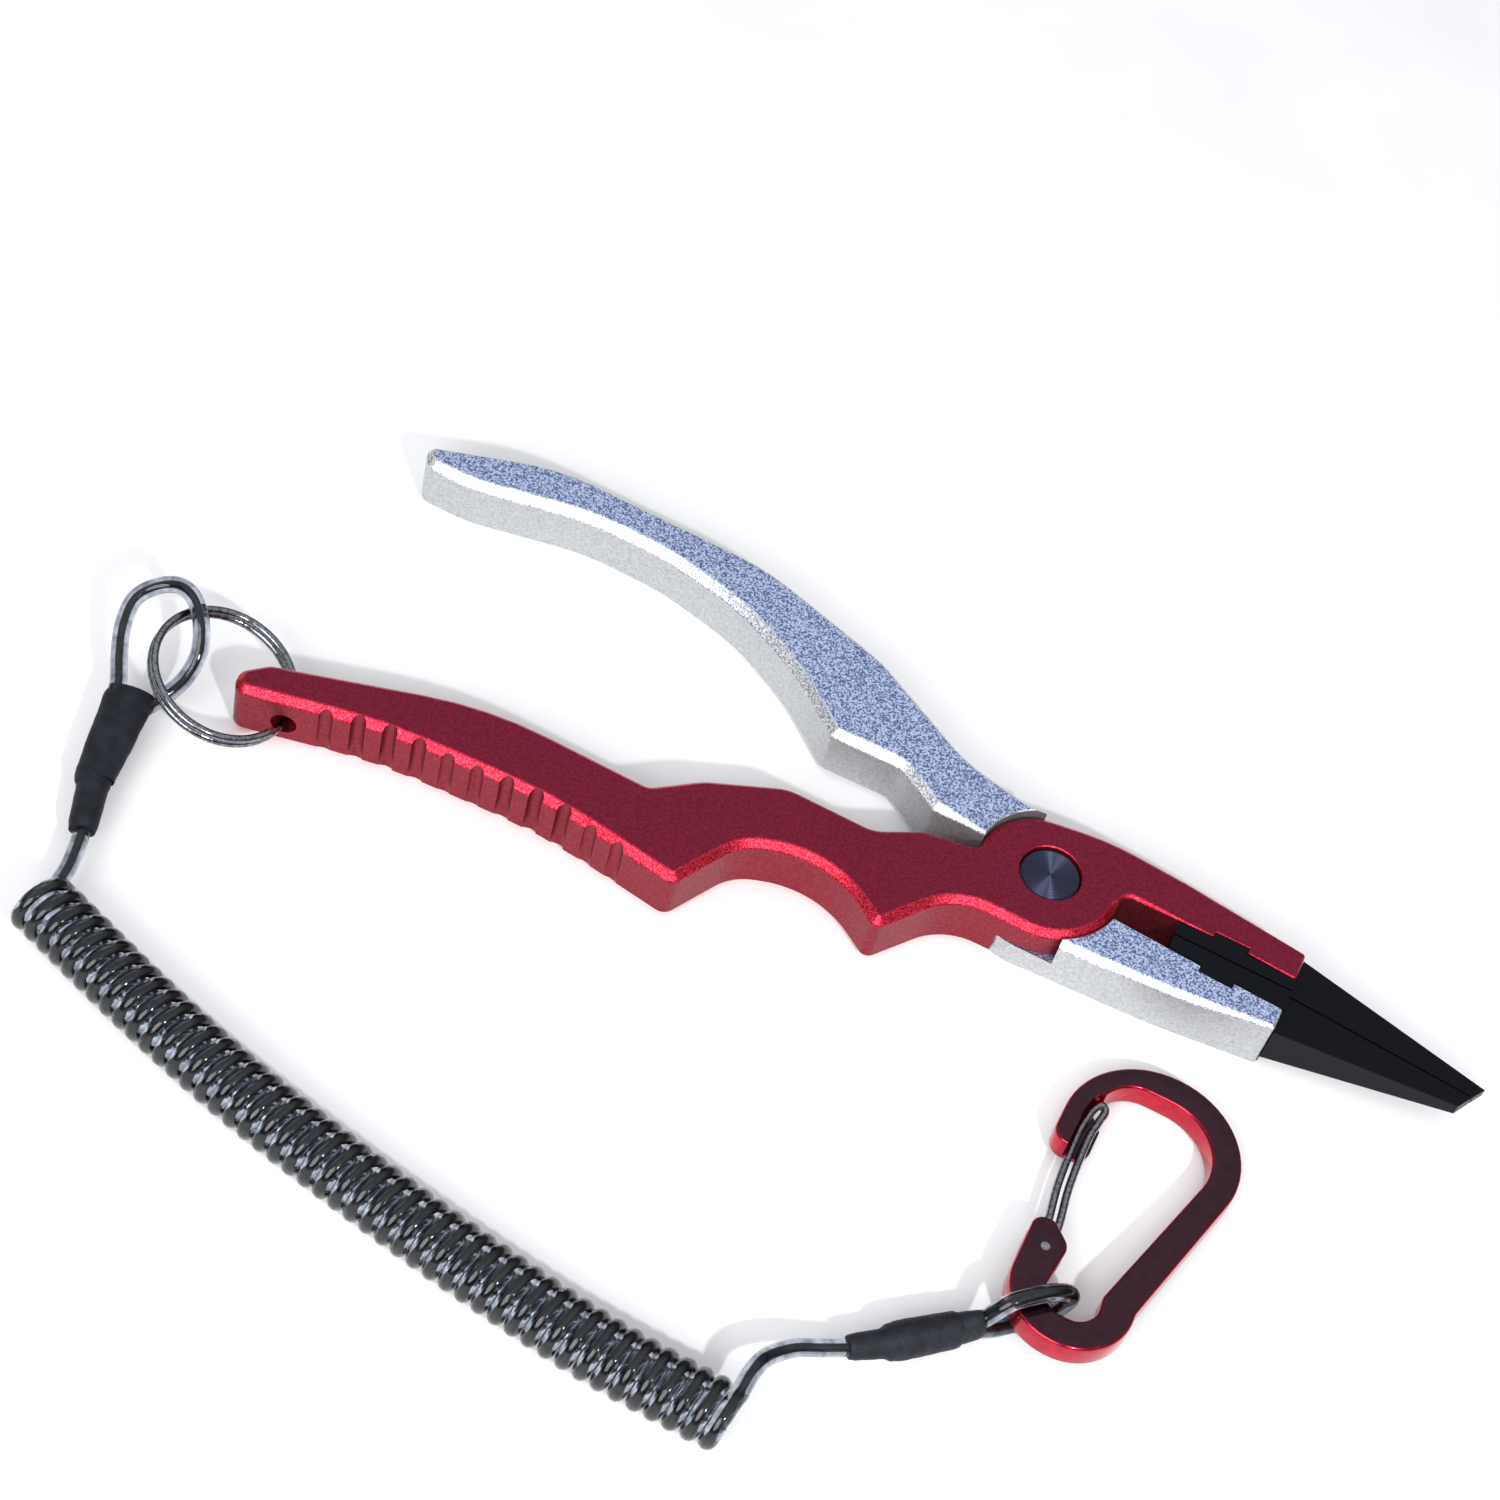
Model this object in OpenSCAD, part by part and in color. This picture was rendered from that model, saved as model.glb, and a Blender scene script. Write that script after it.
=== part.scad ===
// Fishing pliers with a coiled lanyard, a split ring and a wire-gate clip.
// Origin: on the pivot axis, at the plane the pliers lie on. +X runs along the seam to the tips.

/* [Plier body] */
// Thickness of both halves
body_t = 11; // [9:0.5:14]
// Gap between the two lapped discs at the pivot
lap_gap = 0.3; // [0.2:0.05:0.5]
// Radius of each half's disc at the pivot
disc_r = 11.6; // [10:0.1:13]
// Gap between a disc and the hollow that it turns in
disc_gap = 0.4; // [0.2:0.05:0.8]

/* [Grip grooves] */
// Number of grooves in the red grip
groove_count = 11; // [5:1:14]
// Distance from groove to groove along the grip
groove_pitch = 4.95; // [4:0.05:6]
// Radius of a groove
groove_r = 1.2; // [1:0.1:2.5]
// Depth of a groove
groove_depth = 0.8; // [0.4:0.1:1.2]

/* [Pivot] */
// Radius of the recess round the pin head
head_recess_r = 5.05; // [4.95:0.05:6]
// Radius of the pin head
head_r = 4.75; // [3.5:0.05:4.85]
// Radius of the pin shaft
pin_r = 3; // [2:0.1:4]
// Radial running gap of the pin in the silver half
pin_gap = 0.05; // [0.02:0.01:0.1]
// Radius of the screw shaft inside the pin
pivot_screw_r = 1.5; // [1:0.1:2]

/* [Jaws] */
// Where the nose starts, at the ends of the two arms
nose_start = 41.2; // [38:0.1:44]
// Where the seam meets the slanted tip
nose_end = 73.1; // [65:0.1:80]
// Half width of the closed nose where it starts
nose_half = 7.5; // [6:0.1:9]
// Thickness of the nose where it starts
nose_t = 7.4; // [6:0.1:10]
// Thickness of the nose at the tip
tip_t = 1.6; // [1:0.1:4]
// Half of the gap left at the seam
seam_gap = 0.15; // [0.1:0.05:0.3]

/* [Lanyard] */
// Diameter of the cord
cord_d = 2.7; // [2:0.1:4]
// Outer diameter of the coil
coil_d = 10.4; // [8:0.1:14]
// Mean radius of the split ring
ring_r = 11.5; // [9:0.1:14]
// Diameter of the split ring's wire
ring_wire = 1.3; // [1:0.1:1.8]
// Radius of the lanyard hole through the red handle
lanyard_hole_r = 2.1; // [1.5:0.1:2.5]

/* [Clip] */
// Thickness of the clip body
clip_t = 4.4; // [3:0.1:6]
// Angle that the clip leans at, lifted by the cord under it
clip_lean = 4; // [0:0.5:8]
// Diameter of the gate's wire
gate_wire = 1.3; // [1:0.1:1.8]

/* [Hidden] */
arc_step = 9;
tiny = 0.01;
mid_z = body_t / 2;
lower_top = mid_z - lap_gap / 2;
upper_base = mid_z + lap_gap / 2;
hollow_r = disc_r + disc_gap;

// Outline corners are [x, y, fillet radius], counter-clockwise.
red_outline = [
    [-124.8, -36.8, 2.2],
    [-101.5, -31, 80],
    [-73.4, -29.4, 80],
    [-50.3, -32.7, 2.2],
    [-44.3, -20.7, 9],
    [-31.6, -15.4, 17],
    [-20, -23.5, 1.6],
    [-11.4, -11.4, 11],
    [11.6, -11.6, 11.3],
    [11.6, 2.8, 2],
    [26.9, 2.8, 0.1],
    [26.9, 3.8, 0.1],
    [32.7, 3.8, 0.1],
    [32.7, 2.8, 0.1],
    [41, 2.3, 0.5],
    [41, 7.5, 0.6],
    [22, 10.3, 80],
    [6.5, 11.7, 40],
    [-11.6, 8.7, 10],
    [-11.6, -1.6, 1],
    [-20.5, -2.9, 6],
    [-27.5, -7.1, 6],
    [-42.5, -7, 8],
    [-54.5, -12.9, 10],
    [-61.3, -18.6, 2.5],
    [-89.5, -18.2, 60],
    [-122, -29.4, 4],
    [-125.4, -32.6, 2]
];
silver_outline = [
    [-121.8, 20.2, 2.5],
    [-113.5, 19.9, 25],
    [-93, 24.6, 40],
    [-79, 24.4, 40],
    [-63.5, 21.2, 40],
    [-50.5, 14.2, 40],
    [-40.8, 6.3, 1.5],
    [-28.8, 6.6, 5],
    [-21, 1.9, 1.5],
    [-11.6, 1.4, 0.5],
    [-11.6, -11.6, 11.6],
    [8, -11.6, 40],
    [26, -10.4, 60],
    [41, -8, 0.6],
    [41, -4, 0.5],
    [32.7, -3.8, 0.1],
    [32.7, -4.8, 0.1],
    [26.9, -4.6, 0.1],
    [26.9, -3.5, 0.1],
    [11.3, -2.5, 0.2],
    [11.6, 11.6, 11.5],
    [-8, 10.9, 8],
    [-19.5, 13.2, 25],
    [-39.5, 24.3, 25],
    [-64, 31.6, 40],
    [-102.5, 31.9, 35],
    [-123, 24, 1.5]
];

// Corners of the clip, in its own plane before it leans.
clip_outline = [
    [17.4, -40.6, 2.5],
    [23.8, -40.2, 2.4],
    [23.8, -33.5, 1.2],
    [22, -31.5, 0.6],
    [22, -24.7, 6.4],
    [44, -24.7, 9.4],
    [33.9, -62, 2],
    [34.6, -68.2, 3.8],
    [25.4, -68.2, 3.6],
    [26.6, -57, 2.5],
    [23.2, -53.9, 1.5],
    [20.2, -54.3, 1.8],
    [20.2, -73.1, 9.3],
    [39.6, -73.1, 9.3],
    [39.2, -62.3, 3],
    [49.7, -20, 14.1],
    [17.4, -20, 14.1]
];
clip_top_y = -20;
gate_pivot = [23.4, -59];
gate_z = 2.2;
gate_slot_z = [1.2, 3.2];
hook_slot = [[20.1, -42], [26.1, -42], [26.1, -28.9], [21.7, -28.9], [20.7, -30.6], [20.15, -34]];
rivet_r = 0.7;
gate_eye_r = 1.7;
gate_route = [
    [22.7, -58.3], [22.3, -53], [21.35, -46], [20.95, -37], [21.2, -33], [21.7, -30.6], [22.5, -29.6],
    [23.3, -30.5], [23, -33], [22.65, -37], [23.05, -46], [24, -53], [24.1, -58.3]
];

// Cord routes.
loop_a_route = [
    [-140, -46, 6], [-141.3, -42.2, 6.4], [-143.4, -38.6, 8], [-145.2, -34.6, 9.8], [-145.7, -30.6, 11.6],
    [-143.8, -27.8, 13], [-140.6, -26.4, 14.2], [-137.2, -27.4, 14.7], [-134.2, -30, 13.2],
    [-132.4, -33.4, 10.2], [-132.7, -37.2, 7.4], [-134.6, -41.4, 5.6], [-136.4, -46, 5.6]
];
lead_a_route = [[-132.6, -65.6, 4.5], [-131.7, -67.8, 4.6], [-130.6, -71.5, 4.7], [-130, -74.6, 4.5], [-129.8, -77.4, 4]];
coil_route = [
    [-131, -81.6, 5.3], [-125, -83.5, 5.3], [-107, -89.4, 5.3], [-88, -94.6, 5.3], [-68, -98.7, 5.3],
    [-48, -102, 5.3], [-28, -104.4, 5.3], [-13, -105, 5.3], [-6, -105, 5.3]
];
lead_b_route = [
    [-6, -102, 9], [-5.8, -98.3, 8.5], [-4.8, -94.5, 7.2], [-2.2, -91, 6], [1, -88.7, 5.2],
    [4.4, -86.4, 4.6], [6.2, -85, 4.5]
];
// Loop B stands in a vertical plane: distance along the plane, then height.
loop_b_start = [19.9, -73.2];
loop_b_turn = 44.6;
loop_b_profile = [
    [-1.6, 5.5], [0, 6.1], [1.3, 7.4], [2.5, 8.8], [4, 9.7], [7, 9.8], [10, 9.2], [12.8, 7.7], [13.9, 5.5],
    [13, 3.2], [11.6, 1.9], [9.6, 1.36], [4.6, 1.36], [2.6, 1.6], [1, 2.2], [0, 2.6], [-1.6, 3.1]
];
loop_b_dir = [cos(loop_b_turn), sin(loop_b_turn), 0];
loop_b_route = [for (p = loop_b_profile) [for (k = [0, 1]) loop_b_start[k] + p[0] * loop_b_dir[k], p[1]]];

// Split ring, leaning up from the handle.
ring_centre = [-127.5, -34.2, 8.8];
ring_turn = 16;
ring_lean = 20;
ring_pitch = ring_wire + 0.04;

// Crimped sleeves: [centre, half spread of the two strands, radius].
sleeve_a_top = [-138.6, -42.6, 6];
sleeve_a_waist = [-135.2, -58.6, 5.2];
sleeve_a_tail = [-131.8, -67.7, 4.6];
sleeve_b_tail = [4.4, -86.4, 4.6];
sleeve_b_neck = [8.3, -83.4, 4.5];
sleeve_b_wide = [10.6, -81.5, 4.4];
sleeve_b_waist = [16.6, -76.1, 4.3];
sleeve_b_top = [19.9, -73.2, 4.3];

red = [0.55, 0.09, 0.17];
silver = [0.62, 0.67, 0.76];
dark_steel = [0.16, 0.17, 0.2];
black = [0.06, 0.06, 0.07];
smoke = [0.2, 0.21, 0.22];

// ---- Shared shapes ----

function unit(v) = v / norm(v);
function turn_by(v, a) = [v[0] * cos(a) - v[1] * sin(a), v[0] * sin(a) + v[1] * cos(a)];

// Points of one filleted corner, on the arc that touches both of its edges.
function corner(a, v, c) =
    let (
        p = [v[0], v[1]],
        into = unit(p - [a[0], a[1]]),
        out = unit([c[0], c[1]] - p),
        side = cross(into, out) < 0 ? -1 : 1,
        bend = acos(max(-1, min(1, into * out))),
        start = p - into * v[2] * tan(bend / 2),
        centre = start + side * v[2] * [-into[1], into[0]],
        steps = max(1, ceil(bend / arc_step))
    )
    [for (i = [0:steps]) centre + turn_by(start - centre, side * bend * i / steps)];

function filleted(corners) =
    let (n = len(corners))
    [for (i = [0:n - 1]) each corner(corners[(i + n - 1) % n], corners[i], corners[(i + 1) % n])];

// A plate with square edges from an outline of filleted corners.
module plate(corners, z0, z1) {
    translate([0, 0, z0])
    linear_extrude(height = z1 - z0)
    polygon(filleted(corners));
}

// A closed tube from rings of points.
module skin_tube(rings) {
    n = len(rings[0]);
    last = len(rings) - 1;
    points = [for (r = rings) each r];
    sides = [for (k = [0:last - 1], i = [0:n - 1])
        let (j = (i + 1) % n, a = k * n + i, b = (k + 1) * n + i, c = (k + 1) * n + j, d = k * n + j)
        each [[a, b, c], [a, c, d]]];
    faces = concat([[for (i = [0:n - 1]) i]], sides, [[for (i = [n - 1:-1:0]) last * n + i]]);
    polyhedron(points = points, faces = faces, convexity = 10);
}

// One ring of a tube at p, square to the direction.
function tube_ring(p, along, aside, r, sides) =
    let (u = unit(cross(along, aside)), w = cross(unit(along), u))
    [for (i = [0:sides - 1]) p + r * (cos(360 * i / sides) * u + sin(360 * i / sides) * w)];

// A round tube along a route. aside is never parallel to the route.
module tube(route, r, aside, sides = 8) {
    last = len(route) - 1;
    rings = [for (i = [0:last])
        tube_ring(route[i], route[min(i + 1, last)] - route[max(i - 1, 0)], aside, r, sides)];
    skin_tube(rings);
}

// A closed-wound wire, with turns about Z and a height for each angle.
module wound_wire(radius, wire_r, angles, heights) {
    rings = [for (i = [0:len(angles) - 1])
        [for (j = [0:7])
            let (reach = radius + wire_r * cos(45 * j))
            [reach * cos(angles[i]), reach * sin(angles[i]), heights[i] - wire_r * sin(45 * j)]]];
    skin_tube(rings);
}

// A flat disc, or two side by side, square to a direction.
module station(p, along, spread, r, upright = false) {
    heading = atan2(along[1], along[0]);
    rise = atan2(along[2], norm([along[0], along[1]]));
    translate(p)
    rotate([0, 0, heading])
    rotate([0, 90 - rise, 0])
    for (s = [-1, 1])
        translate(upright ? [s * spread, 0, 0] : [0, s * spread, 0])
        cylinder(r = r, h = 0.1, center = true, $fn = 24);
}

module bore(r, z0, z1) {
    translate([0, 0, z0])
    cylinder(r = r, h = z1 - z0, $fn = 96);
}

// A flat ring about Z.
module ring_plate(outer, inner, z0, z1) {
    difference() {
        bore(outer, z0, z1);
        bore(inner, z0 - 1, z1 + 1);
    }
}

// ---- Pliers ----

// Height of the red grip's outer wall line at x, where the grooves lie.
function grip_y(x) =
    x < -101.5 ? -31 + 0.249 * (x + 101.5)
    : x < -73.4 ? -31 + 0.057 * (x + 101.5)
    : -29.4 - 0.143 * (x + 73.4);
groove_start = -110;
grip_round = 0.3;

module grip_grooves() {
    for (i = [0:groove_count - 1]) {
        x = groove_start + i * groove_pitch;
        sag = abs(x + 101.5) < 7 || abs(x + 73.4) < 7 ? grip_round : 0;
        translate([x, grip_y(x) + sag - groove_r + groove_depth, -1])
        cylinder(r = groove_r, h = body_t + 2, $fn = 48);
    }
}

lanyard_mid = [-117.35, -31.35, 5];
lug_x = [29.2, 41.2];
lug_t = 2.3;
lug_screw_x = [34.4, 38.6];
lug_screw_y = 4.9;
lug_out = 7.2;
lug_fit = 0.1;
jaw_screw_r = 0.95;
jaw_screw_top = 7;
spring_r = 4.9;
spring_wire = 0.9;
spring_seat = [3.7, 7.1];
washer_r = [6.3, 9.5];
washer_t = 0.6;
washer_top = 6;
head_base = 8.2;
screw_head_top = 2.5;
screw_recess_r = 4.7;
key_x = [27, 32.6];
jaw_step = 0.2;

// The pocket under an arm that takes the jaw's lug, for side +1 or -1.
module lug_pocket(side) {
    pocket_in = 2;
    pocket_w = lug_out + lug_fit - pocket_in;
    translate([lug_x[0] - lug_fit, side > 0 ? pocket_in : -pocket_in - pocket_w, -1])
    cube([lug_x[1] - lug_x[0] + 2 * lug_fit, pocket_w, lug_t + lug_fit + 1]);
    for (x = lug_screw_x)
        translate([x, side * lug_screw_y, 0])
        bore(jaw_screw_r, 1, jaw_screw_top + 0.6);
}

module red_half() {
    color(red)
    difference() {
        plate(red_outline, 0, body_t);
        grip_grooves();
        bore(hollow_r, -1, upper_base);
        ring_plate(spring_r + 1, spring_r - 1, upper_base - 1, spring_seat[1]);
        ring_plate(washer_r[1] + 0.1, washer_r[0] - 0.1, upper_base - 1, washer_top);
        bore(head_recess_r, head_base, body_t + 1);
        bore(pin_r, 0, body_t + 1);
        lug_pocket(1);
        translate(lanyard_mid)
        rotate([0, 0, ring_turn])
        rotate([90, 0, 0])
        cylinder(r = lanyard_hole_r, h = 24, center = true, $fn = 48);
    }
}

// Takes away the thin rim that the hollow would leave under the red disc.
module rim_relief() {
    translate([-1, -13, lower_top])
    cube([7.2, 5, body_t]);
}

module silver_half() {
    color(silver)
    difference() {
        plate(silver_outline, 0, body_t);
        bore(hollow_r, lower_top, body_t + 1);
        rim_relief();
        ring_plate(spring_r + 1, spring_r - 1, spring_seat[0], lower_top + 1);
        bore(pin_r + pin_gap, -1, lower_top + 1);
        bore(screw_recess_r, -1, screw_head_top + 0.1);
        lug_pocket(-1);
    }
}

module pivot_pin() {
    color(dark_steel)
    difference() {
        union() {
            bore(head_r, head_base, body_t - 0.4);
            bore(pin_r, screw_head_top, head_base + 0.5);
        }
        bore(pivot_screw_r, screw_head_top - 1, 7.5);
        translate([0, 0, body_t - 0.4])
        sphere(r = 0.4, $fn = 24);
    }
}

module pivot_screw() {
    color(dark_steel)
    difference() {
        union() {
            bore(4.3, 0.3, screw_head_top);
            bore(pivot_screw_r, screw_head_top - 0.5, 7);
        }
        translate([0, 0, -1])
        cylinder(r = 1.75, h = 2.7, $fn = 6);
    }
}

module thrust_washer() {
    color([0.8, 0.7, 0.45])
    ring_plate(washer_r[1], washer_r[0], washer_top - washer_t, washer_top);
}

module return_spring() {
    turns = 2.25;
    count = 36;
    angles = [for (i = [0:count]) 360 * turns * i / count];
    heights = [for (i = [0:count]) 4.3 + 2.1 * i / count];
    color(dark_steel)
    wound_wire(spring_r, spring_wire / 2, angles, heights);
}

// Plan of the nose on side +1 or -1, cut at a slant at the tip.
module nose_plan(side) {
    slope = 0.153;
    slant = 0.53;
    far_x = side > 0 ? 74.5 : 71.5;
    polygon([
        [nose_start, side * seam_gap],
        [nose_end + side * slant * seam_gap, side * seam_gap],
        [far_x, side * (nose_half - slope * (far_x - nose_start))],
        [nose_start, side * nose_half]
    ]);
}

module nose_profile() {
    translate([0, 20, 0])
    rotate([90, 0, 0])
    linear_extrude(height = 40)
    polygon([
        [nose_start - 1, mid_z - nose_t / 2],
        [75, mid_z - tip_t / 2],
        [75, mid_z + tip_t / 2],
        [nose_start - 1, mid_z + nose_t / 2]
    ]);
}

// One jaw: tail between the arms, key in the notch, lug under the arm, tapered nose with teeth.
module jaw(side, tail_y, notch_y, end_y) {
    tail_start = 21.3;
    tail_chamfer = 0.6;
    teeth_x = [47:1.5:71];
    tooth_r = 0.45;
    tooth_h = 1.4;
    color(black)
    difference() {
        union() {
            translate([0, 0, jaw_step])
            linear_extrude(height = body_t - 2 * jaw_step)
            polygon([
                [tail_start, side * seam_gap],
                [nose_start + tiny, side * seam_gap],
                [nose_start + tiny, side * end_y],
                [tail_start + tail_chamfer, side * tail_y],
                [tail_start, side * (tail_y - tail_chamfer)]
            ]);
            translate([key_x[0], side > 0 ? 1 : -notch_y, jaw_step])
            cube([key_x[1] - key_x[0], notch_y - 1, body_t - 2 * jaw_step]);
            translate([lug_x[0], side > 0 ? 1 : -lug_out, jaw_step])
            cube([lug_x[1] - lug_x[0], lug_out - 1, lug_t - jaw_step]);
            intersection() {
                linear_extrude(height = body_t)
                nose_plan(side);
                nose_profile();
            }
        }
        for (x = teeth_x)
            translate([x, 0, mid_z])
            cylinder(r = tooth_r, h = tooth_h, center = true, $fn = 16);
        for (x = lug_screw_x)
            translate([x, side * lug_screw_y, -1]) {
                cylinder(r = 1.9, h = 2.2, $fn = 48);
                cylinder(r = 1.05, h = 5, $fn = 48);
            }
    }
}

module upper_jaw() {
    jaw(1, 2.7, 3.7, 2.2);
}

module lower_jaw() {
    jaw(-1, 2.85, 4.5, 3.9);
}

module jaw_screws(side) {
    color(dark_steel)
    for (x = lug_screw_x)
        translate([x, side * lug_screw_y, 0])
        difference() {
            union() {
                bore(1.75, 0.3, 1.2);
                bore(jaw_screw_r, 1.1, jaw_screw_top);
            }
            translate([0, 0, -1])
            cylinder(r = 0.85, h = 1.9, $fn = 6);
        }
}

module upper_jaw_screws() {
    jaw_screws(1);
}

module lower_jaw_screws() {
    jaw_screws(-1);
}

// ---- Lanyard ----

module split_ring() {
    gap_angle = 35;
    step = 13;
    angles = [for (a = [gap_angle:step:720 - gap_angle]) a];
    heights = [for (a = angles)
        let (t = max(0, min(1, (a - 360 + gap_angle) / (2 * gap_angle))))
        ring_pitch * (t * t * (3 - 2 * t) - 0.5)];
    color(dark_steel)
    translate(ring_centre)
    rotate([0, 0, ring_turn])
    rotate([0, ring_lean, 0])
    wound_wire(ring_r, ring_wire / 2, angles, heights);
}

module cord_loop_a() {
    color(smoke)
    tube(loop_a_route, cord_d / 2, [0.3, -0.5, 1]);
}

module cord_lead_a() {
    color(smoke)
    tube(lead_a_route, cord_d / 2, [1, 0, 0]);
}

module cord_coil() {
    color(smoke)
    tube(coil_route, coil_d / 2, [0, 0, 1], 12);
}

module cord_lead_b() {
    color(smoke)
    tube(lead_b_route, cord_d / 2, [0, 0, 1]);
}

module cord_loop_b() {
    color(smoke)
    tube(loop_b_route, cord_d / 2, [-sin(loop_b_turn), cos(loop_b_turn), 0]);
}

// A flat crimp of two strands side by side, or one above the other.
module crimp(centre, along, half_length, spread, r, upright = false) {
    ends = [for (s = [-1, 1]) centre + s * half_length * unit(along)];
    hull() {
        station(ends[0], along, spread, r, upright);
        station(ends[1], along, spread, r, upright);
    }
}

sleeve_a_along = sleeve_a_waist - sleeve_a_top;
sleeve_b_along = sleeve_b_top - sleeve_b_wide;

module ferrule_a() {
    color(dark_steel)
    crimp(sleeve_a_top + 0.58 * sleeve_a_along, sleeve_a_along, 5, 1, 1.4);
}

module ferrule_b() {
    color(dark_steel)
    crimp(sleeve_b_wide + 0.3 * sleeve_b_along, sleeve_b_along, 3.4, 0.5, 1.9, true);
}

module sleeve_a() {
    tail_along = sleeve_a_tail - sleeve_a_waist;
    color(black)
    difference() {
        union() {
            hull() {
                station(sleeve_a_top, sleeve_a_along, 2, 2, false);
                station(sleeve_a_waist, sleeve_a_along, 1, 2.1, false);
            }
            hull() {
                station(sleeve_a_waist, sleeve_a_along, 1, 2.1, false);
                station(sleeve_a_waist + 0.35 * tail_along, tail_along, 0.3, 2.1, false);
            }
            hull() {
                station(sleeve_a_waist + 0.35 * tail_along, tail_along, 0.3, 2.1, false);
                station(sleeve_a_tail, tail_along, 0.2, 2.05, false);
            }
        }
        crimp(sleeve_a_top + 0.58 * sleeve_a_along, sleeve_a_along, 5, 1, 1.4);
    }
}

module sleeve_b() {
    tail_along = sleeve_b_neck - sleeve_b_tail;
    color(black)
    difference() {
        union() {
            hull() {
                station(sleeve_b_tail, tail_along, 0, 1.9, true);
                station(sleeve_b_neck, tail_along, 0.1, 2.05, true);
            }
            hull() {
                station(sleeve_b_neck, tail_along, 0.1, 2.05, true);
                station(sleeve_b_wide, sleeve_b_along, 0.6, 2.8, true);
            }
            hull() {
                station(sleeve_b_wide, sleeve_b_along, 0.6, 2.8, true);
                station(sleeve_b_waist, sleeve_b_along, 0.8, 2.6, true);
            }
            hull() {
                station(sleeve_b_waist, sleeve_b_along, 0.8, 2.6, true);
                station(sleeve_b_top, sleeve_b_along, 1.7, 1.75, true);
            }
        }
        crimp(sleeve_b_wide + 0.3 * sleeve_b_along, sleeve_b_along, 3.4, 0.5, 1.9, true);
    }
}

// ---- Clip ----

// Leans the clip about the line where its top arc touches the surface.
module clip_place() {
    translate([0, clip_top_y, 0])
    rotate([-clip_lean, 0, 0])
    translate([0, -clip_top_y, 0])
    children();
}

// Room in the frame for the gate's eye, and for its nose in the hook.
module gate_slots() {
    translate([18, gate_pivot[1] - 2.3, gate_slot_z[0]])
    cube([10, 8, gate_slot_z[1] - gate_slot_z[0]]);
    translate([0, 0, gate_slot_z[0]])
    linear_extrude(height = clip_t)
    polygon(hook_slot);
}

module clip_body() {
    color(red)
    clip_place()
    difference() {
        plate(clip_outline, 0, clip_t);
        gate_slots();
        translate([gate_pivot[0], gate_pivot[1], 0])
        bore(rivet_r, 0.3, clip_t + 1);
    }
}

module clip_gate() {
    route = [for (p = gate_route) [p[0], p[1], gate_z]];
    color(dark_steel)
    clip_place()
    difference() {
        union() {
            tube(route, gate_wire / 2, [0, 0, 1]);
            translate([gate_pivot[0], gate_pivot[1], 0])
            bore(gate_eye_r, gate_z - 0.75, gate_z + 0.75);
        }
        translate([gate_pivot[0], gate_pivot[1], 0])
        bore(rivet_r + 0.06, 0, clip_t);
    }
}

module clip_rivet() {
    color([0.6, 0.6, 0.62])
    clip_place()
    translate([gate_pivot[0], gate_pivot[1], 0])
    bore(rivet_r, 0.3, clip_t + 0.1);
}

red_half();
silver_half();
pivot_pin();
pivot_screw();
thrust_washer();
return_spring();
upper_jaw();
lower_jaw();
upper_jaw_screws();
lower_jaw_screws();
split_ring();
cord_loop_a();
ferrule_a();
sleeve_a();
cord_lead_a();
cord_coil();
cord_lead_b();
ferrule_b();
sleeve_b();
cord_loop_b();
clip_body();
clip_gate();
clip_rivet();
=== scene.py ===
"""Fishing pliers with a coiled lanyard: what is seen, built round the CAD frame.

Sizes are in millimetres, in the CAD frame, and turn into metres where a mesh or curve is made.
"""
from math import acos, ceil, cos, pi, radians, sin, tan

import bmesh
import bpy
from mathutils import Matrix, Vector


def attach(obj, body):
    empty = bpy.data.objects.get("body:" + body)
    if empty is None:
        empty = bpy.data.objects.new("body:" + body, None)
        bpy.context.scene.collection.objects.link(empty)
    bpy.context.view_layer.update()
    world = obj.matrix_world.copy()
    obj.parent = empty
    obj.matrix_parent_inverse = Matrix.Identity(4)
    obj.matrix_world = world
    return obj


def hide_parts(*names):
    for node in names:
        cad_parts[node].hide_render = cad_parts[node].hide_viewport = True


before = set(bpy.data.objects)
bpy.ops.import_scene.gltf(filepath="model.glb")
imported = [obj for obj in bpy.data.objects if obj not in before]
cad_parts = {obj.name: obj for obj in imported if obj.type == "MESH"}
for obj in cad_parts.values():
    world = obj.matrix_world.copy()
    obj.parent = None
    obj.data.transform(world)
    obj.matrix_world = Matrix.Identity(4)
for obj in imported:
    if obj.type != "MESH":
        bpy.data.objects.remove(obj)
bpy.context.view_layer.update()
MM = 0.001

# ---- Sizes shared with the CAD model ----

BODY_T = 11.0
LOWER_TOP = 5.35
UPPER_BASE = 5.65
HOLLOW_R = 12.0
CORD_D = 2.7
COIL_D = 10.4
COIL_TURNS = 46
CLIP_T = 4.4
CLIP_TOP_Y = -20.0
CLIP_LEAN = 4.0
GATE_PIVOT = (23.4, -59.0)
GATE_Z = 2.2
GATE_WIRE = 1.3
RING_CENTRE = (-127.5, -34.2, 8.8)
RING_TURN = 16.0
RING_LEAN = 20.0
RING_R = 11.5
RING_WIRE = 1.3
HEAD_BASE = 8.2
HEAD_RECESS_R = 5.05
SCREW_RECESS_R = 4.7
SCREW_RECESS_TOP = 2.6
LUG_SPAN = (29.1, 41.3)
LUG_REACH = (2, 7.3)
LUG_TOP = 2.4
RIM_RELIEF = ((-1, -13), (6.2, -8))
GATE_SLOT_X = (18, 28)
GATE_SLOT_BACK = 2.3
GATE_SLOT_FRONT = 5.7
GATE_SLOT_Z = (1.2, 3.2)
GATE_EYE_R = 1.7
RIVET_R = 0.7
RIVET_FOOT = 0.3

# Edges that the square-edged CAD doesn't have, and how far a cutter stands out of the metal.
RIM_BEVEL = 0.2
HEAD_RECESS_MOUTH_R = 5.2
HEAD_RECESS_MOUTH = 0.15
CLEAR = 1

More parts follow.
